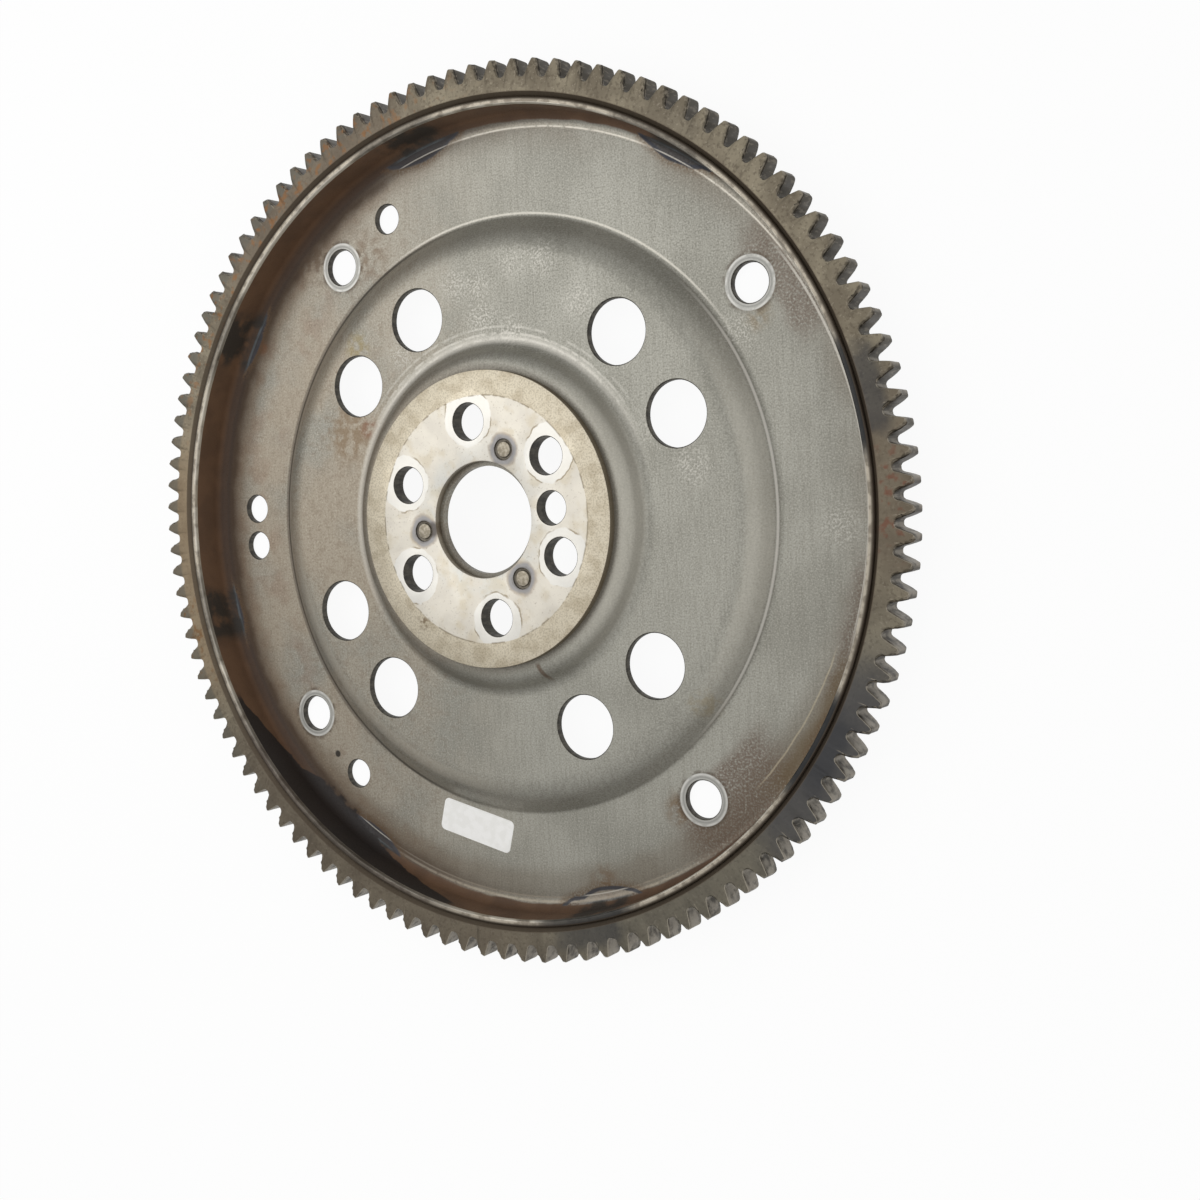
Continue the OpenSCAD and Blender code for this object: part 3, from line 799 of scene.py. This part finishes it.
def strip(name, rows, capped=False):
    """A mesh of rows of points, each row a closed loop that is joined to the next, with caps if asked."""
    mesh = bpy.data.meshes.new(name)
    width = len(rows[0])
    faces = []
    for i in range(len(rows) - 1):
        here, there = i * width, (i + 1) * width
        faces += [(here + j, there + j, there + (j + 1) % width, here + (j + 1) % width) for j in range(width)]
    if capped:
        last = (len(rows) - 1) * width
        faces += [tuple(range(width)), tuple(last + j for j in reversed(range(width)))]
    mesh.from_pydata([p for row in rows for p in row], [], faces)
    return mesh


def tooth_piece():
    """One tooth with its share of the ring, its clockwise flank battered by the pinion, the other polished."""
    outline = tooth_outline()
    before = outline[0] * 2 - outline[1]
    after = outline[-1] * 2 - outline[-2]
    rows, burrs, polishes = [], [], []
    for i, (left, p, right) in enumerate(zip([before] + outline, outline, outline[1:] + [after])):
        way = (right - left).normalized()
        away = Vector((way.y, -way.x))
        battered = 2 <= i < len(outline) / 2
        edge = tooth_edge + (entry_chamfer - tooth_edge) * min(1, (i - 1) / 3) if battered else tooth_edge
        inner = p - edge * away
        middle = p - 0.45 * edge * away
        rear = p - tooth_edge * away
        out = p.normalized()
        front_line = inner if inner.length < front_slope_r else out * front_slope_r
        rear_line = rear if rear.length < rear_chamfer_r else out * rear_chamfer_r
        rows.append([
            (*(out * ring_bore_r), ring_rear),
            (*(out * ring_bore_r), ring_front - bore_chamfer),
            (*(out * (ring_bore_r + bore_chamfer)), ring_front),
            (*front_line, ring_front),
            (*inner, front_at(inner)),
            (*middle, front_at(middle) - 0.5 * edge),
            (*p, front_at(p) - 1.3 * edge),
            (*p, front_at(p) - 2 * entry_chamfer),
            (*p, rear_at(p) + tooth_edge),
            (*rear_line, ring_rear),
        ])
        rough = 0.5 if battered else 0.1
        burrs += [0, 0, 0, 0, rough, rough, 2 * rough, 0, 0, 0]
        polishes += [0 if i < len(outline) / 2 else 1] * 10
    mesh = strip("tooth", rows)
    mesh.attributes.new("burr", "FLOAT", "POINT").data.foreach_set("value", burrs)
    mesh.attributes.new("polish", "FLOAT", "POINT").data.foreach_set("value", polishes)
    return mesh


# Hobbed gear steel: dull grey cut faces under brown oil, with dark scratched flanks that are partly painted
# shade, painted highlights on the polished edges, and blue weld heat.
gear_steel, tree, place = new_material("hobbed_gear_steel")
radius, angle, _ = polar(tree, place)
facing = node(tree, "ShaderNodeNewGeometry", {}).outputs["Normal"]
upright = node(tree, "ShaderNodeSeparateXYZ", {0: facing}).outputs[2]
wander = cloud(tree, place, 7, 4)
wobble = node(tree, "ShaderNodeMath", {0: wander, 1: 4.0, 2: -2.0}, operation="MULTIPLY_ADD").outputs[0]
rough_angle = node(tree, "ShaderNodeMath", {0: angle, 1: wobble}, operation="ADD").outputs[0]
metal_face = node(tree, "ShaderNodeMix", {
    0: within(tree, cloud(tree, place, 12, 5), 0.35, 0.65),
    6: linear("#736a5a"),
    7: linear("#8d8471"),
}, data_type="RGBA").outputs[2]
metal_face = tinted(tree, metal_face, "#4f4539", 0.45, (cloud(tree, place, 1.1, 3), 0.5, 0.68))
metal_face = tinted(tree, metal_face, "#b0a694", 0.35, (cloud(tree, place, 0.8, 3), 0.58, 0.72))

# Fields of oil film round the ring: colour, strength, middle and both ends of the fade
oil_fields = (
    ("#9a8467", 0.5, -174, 26, 12),
    ("#62564a", 0.6, 122, 26, 14),
    ("#655a4c", 0.6, 2, 14, 7),
    ("#5b5146", 0.55, -115, 45, 20),
    ("#5c5a52", 0.6, -48, 45, 22),
)
for colour, strength, middle, nothing, full in oil_fields:
    metal_face = tinted(tree, metal_face, colour, strength, (off_angle(tree, angle, middle), nothing, full))
blue_field = (off_angle(tree, rough_angle, -32), 18, 9)
metal_face = tinted(tree, metal_face, "#47474a", 0.75, blue_field)
left_side = (off_angle(tree, angle, 165), 65, 40)
metal_face = tinted(tree, metal_face, "#66655d", 0.6, (radius, 138.6, 140.2), left_side)
rust = within(tree, cloud(tree, place, 3, 4), 0.52, 0.66)
rust_fields = (("#8a5c2e", 0.6, 130, 45, 20), ("#7e5a34", 0.7, -163, 9, 4), ("#73402f", 0.6, 1, 9, 3))
for colour, strength, middle, nothing, full in rust_fields:
    arc = (off_angle(tree, angle, middle), nothing, full)
    metal_face = tinted(tree, metal_face, colour, strength, rust, arc)
ring_lag = 0.5
weld_off = off_angle(tree, rough_angle, weld_angle + ring_lag, 360 / weld_count)
heated = within(tree, weld_off, 6.6, 3.8)
blue_side = within(tree, off_angle(tree, angle, -25), 95, 35)
metal_face = tinted(tree, metal_face, "#3a3b3e", 0.7, heated, blue_side, (radius, 143, 139))

# The dark groove beside the flange, the flanks of the teeth, darkened partly as painted shade between them, and
# their battered fronts
groove = within(tree, radius, 135.0, 134.4)
metal_face = tinted(tree, metal_face, "#5c5042", 0.85, groove)
# Faces that don't point up, mostly the flanks, are darkened, partly as painted shade between the teeth.
flank = within(tree, upright, 0.8, 0.4)
metal_face = tinted(tree, metal_face, "#433e35", 0.9, flank)
luck = node(tree, "ShaderNodeAttribute", {}, attribute_name="luck").outputs["Fac"]
metal_face = tinted(tree, metal_face, "#3a352e", 0.5, flank, luck)
scratches = within(tree, cloud(tree, place, 0.9, 3, stretch=(1, 1, 0.25)), 0.54, 0.68)
metal_face = tinted(tree, metal_face, "#8f8778", 0.4, flank, scratches)
polish = node(tree, "ShaderNodeAttribute", {}, attribute_name="polish").outputs["Fac"]
metal_face = tinted(tree, metal_face, "#9b9488", 0.75, flank, polish, (radius, 137.8, 139.6),
                    (cloud(tree, place, 3, 4), 0.3, 0.6))
# A painted highlight along the chamfer edge on the polished side of each tooth.
edge_highlight = within(tree, upright, 0.4, 0.55, 0.97, 0.85)
metal_face = tinted(tree, metal_face, "#c4bbaa", 0.5, edge_highlight, polish, (radius, 136.2, 137))
burr = node(tree, "ShaderNodeAttribute", {}, attribute_name="burr").outputs["Fac"]
metal_face = tinted(tree, metal_face, "#a59b8a", 0.55, (burr, 0.25, 0.45),
                    (cloud(tree, place, 1.6, 2), 0.42, 0.6))
metal_face = tinted(tree, metal_face, "#2b2620", 0.85, (burr, 0.6, 0.85),
                    (cloud(tree, place, 2.2, 2), 0.34, 0.5))
shader = node(tree, "ShaderNodeBsdfPrincipled", {
    "Base Color": metal_face,
    "Metallic": 0.7,
    "Roughness": 0.5,
    "Normal": node(tree, "ShaderNodeBump", {
        "Height": cloud(tree, place, 1 / 1.1, 4),
        "Strength": 0.4,
        "Distance": 0.06 * MM,
    }).outputs[0],
})
node(tree, "ShaderNodeOutputMaterial", {"Surface": shader.outputs[0]})

tooth_mesh = merged(tooth_piece(), math.radians(35))
ring = round_the_axis("starter_ring", tooth_mesh, tooth_count, tooth_first, gear_steel)
merged(ring.data, math.radians(35))
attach(ring, "root")
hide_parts("ring_gear")

# Ring gear welds
# Short beads in the corner between the ring's rear face and the flange, laid by arc welding.
# Each bead shows the ripples of the moving pool and thins out at its ends.

bead_sweep = math.radians(11)
bead_leg = 2.8 * MM
bead_drop = 2.6 * MM
ripple_pitch = 1.7 * MM
bead_steps = 90


def bead_piece():
    """One weld bead round the middle of its arc, as rows across the bead."""
    rows = []
    for i in range(bead_steps + 1):
        share = i / bead_steps
        turn = (share - 0.5) * bead_sweep
        ripple = 1 - 0.07 * (0.5 + 0.5 * math.cos(math.tau * share * bead_sweep * ring_bore_r / ripple_pitch))
        taper = min(1, math.sqrt(max(0, 1 - (abs(share - 0.5) / 0.5) ** 6)) + 0.02)
        row = [(ring_bore_r, ring_rear)]
        for step in range(9):
            lean = math.pi / 2 * step / 8
            swell = taper * (1 if step in (0, 8) else ripple)
            row.append((ring_bore_r + bead_leg * swell * math.cos(lean),
                        ring_rear - bead_drop * swell * math.sin(lean)))
        rows.append([(r * math.cos(turn), r * math.sin(turn), z) for r, z in row])
    return strip("bead", rows, capped=True)


bead_mesh = merged(bead_piece(), math.radians(50))
beads = round_the_axis("ring_weld_beads", bead_mesh, weld_count, weld_angle, weld_metal)
merged(beads.data, math.radians(50))
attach(beads, "root")
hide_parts("ring_gear_welds")

# Paper label
# A blank white label with round corners, stuck on the outer annulus. It carries no print.

label_centre = (-19.55 * MM, -104.19 * MM)
label_turn = math.radians(-13.6)
label_w = 29.4 * MM
label_h = 11.4 * MM
label_corner = 1.8 * MM
label_t = 0.12 * MM

# Coated paper: matt white with a faint fibre grain.
coated_paper, tree, place = new_material("coated_paper")
paper = node(tree, "ShaderNodeMix", {
    0: within(tree, cloud(tree, place, 3), 0.4, 0.6),
    6: linear("#f2f1ed"),
    7: linear("#f8f7f4"),
}, data_type="RGBA").outputs[2]
shader = node(tree, "ShaderNodeBsdfPrincipled", {"Base Color": paper, "Roughness": 0.6})
node(tree, "ShaderNodeOutputMaterial", {"Surface": shader.outputs[0]})

outline = []
for corner, (sx, sy) in enumerate(((1, 1), (-1, 1), (-1, -1), (1, -1))):
    middle = Vector((sx * (label_w / 2 - label_corner), sy * (label_h / 2 - label_corner)))
    outline += [middle + label_corner * along(math.radians(90 * corner + 15 * i)) for i in range(7)]
label_mesh = bpy.data.meshes.new("paper_label")
sides = len(outline)
low = [(*p, 0) for p in outline]
high = [(*(p * 0.995), label_t) for p in outline]
walls = [(i, (i + 1) % sides, sides + (i + 1) % sides, sides + i) for i in range(sides)]
label_mesh.from_pydata(low + high, [], walls + [tuple(reversed(range(sides))), tuple(range(sides, 2 * sides))])
label_mesh.transform(Matrix.Translation((*label_centre, sheet)) @ Matrix.Rotation(label_turn, 4, "Z"))
label = placed("paper_label", merged(label_mesh, math.radians(30)), coated_paper)
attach(label, "root")

# Floor, light and camera
# The plate lies on a pale floor under soft light, and the camera looks down on it from its right.

floor_half = 40
floor_z = -0.2 * MM
floor_white = 0.93

# Pale floor: matt white board, which the camera and reflections see as nearly pure white.
floor_material, tree, _ = new_material("pale_floor")
path = node(tree, "ShaderNodeLightPath", {}).outputs
seen = path["Is Camera Ray"]
for ray in ("Is Glossy Ray", "Is Transmission Ray"):
    seen = node(tree, "ShaderNodeMath", {0: seen, 1: path[ray]}, operation="MAXIMUM").outputs[0]
matt = node(tree, "ShaderNodeBsdfDiffuse", {"Color": linear("#f4f4f3")}).outputs[0]
glow = node(tree, "ShaderNodeEmission", {"Color": (1, 1, 1, 1), "Strength": 1}).outputs[0]
share = node(tree, "ShaderNodeMath", {0: seen, 1: floor_white}, operation="MULTIPLY").outputs[0]
surface = node(tree, "ShaderNodeMixShader", {0: share, 1: matt, 2: glow}).outputs[0]
node(tree, "ShaderNodeOutputMaterial", {"Surface": surface})
floor_mesh = bpy.data.meshes.new("floor")
corners = [(sx * floor_half, sy * floor_half, floor_z) for sx, sy in ((-1, -1), (1, -1), (1, 1), (-1, 1))]
floor_mesh.from_pydata(corners, [], [(0, 1, 2, 3)])
floor = placed("floor", floor_mesh, floor_material)

scene = bpy.context.scene
scene.view_settings.view_transform = "Standard"
world = bpy.data.worlds.new("soft_room")
world.use_nodes = True
tree = world.node_tree
tree.nodes.clear()
# The room is bright overhead and towards +X, and dims to the sides and towards the floor.
# The camera sees it as white.
way = node(tree, "ShaderNodeTexCoord", {}).outputs["Generated"]
way = node(tree, "ShaderNodeSeparateXYZ", {0: way}).outputs
sideways = node(tree, "ShaderNodeMath", {0: way[1]}, operation="ABSOLUTE").outputs[0]
lift = node(tree, "ShaderNodeMath", {0: way[0], 1: 0.45, 2: way[2]}, operation="MULTIPLY_ADD").outputs[0]
lift = node(tree, "ShaderNodeMath", {0: sideways, 1: -0.45, 2: lift}, operation="MULTIPLY_ADD").outputs[0]
strength = node(tree, "ShaderNodeMapRange", {
    0: lift,
    1: -0.2,
    2: 0.7,
    3: 0.25,
    4: 0.93,
}, interpolation_type="SMOOTHSTEP").outputs[0]
path = node(tree, "ShaderNodeLightPath", {}).outputs
for ray in ("Is Camera Ray", "Is Transmission Ray"):
    strength = node(tree, "ShaderNodeMath", {0: strength, 1: path[ray]}, operation="MAXIMUM").outputs[0]
sky = node(tree, "ShaderNodeBackground", {"Color": (1, 1, 1, 1), "Strength": strength}).outputs[0]
node(tree, "ShaderNodeOutputWorld", {"Surface": sky})
scene.world = world

key = bpy.data.lights.new("key", "AREA")
key.energy = 0.53
key.size = 0.35
key_lamp = bpy.data.objects.new("key", key)
key_lamp.location = (-0.28, 0.14, 0.4)
key_lamp.rotation_euler = (-key_lamp.location).to_track_quat("-Z", "Y").to_euler()
scene.collection.objects.link(key_lamp)

camera = bpy.data.cameras.new("camera")
camera.sensor_width = 36
camera.lens = 47.71
eye = bpy.data.objects.new("camera", camera)
eye.location = (300.58 * MM, 3.43 * MM, 436.82 * MM)
eye.rotation_euler = [math.radians(a) for a in (-4.696, 31.479, -2.436)]
scene.collection.objects.link(eye)
scene.camera = eye
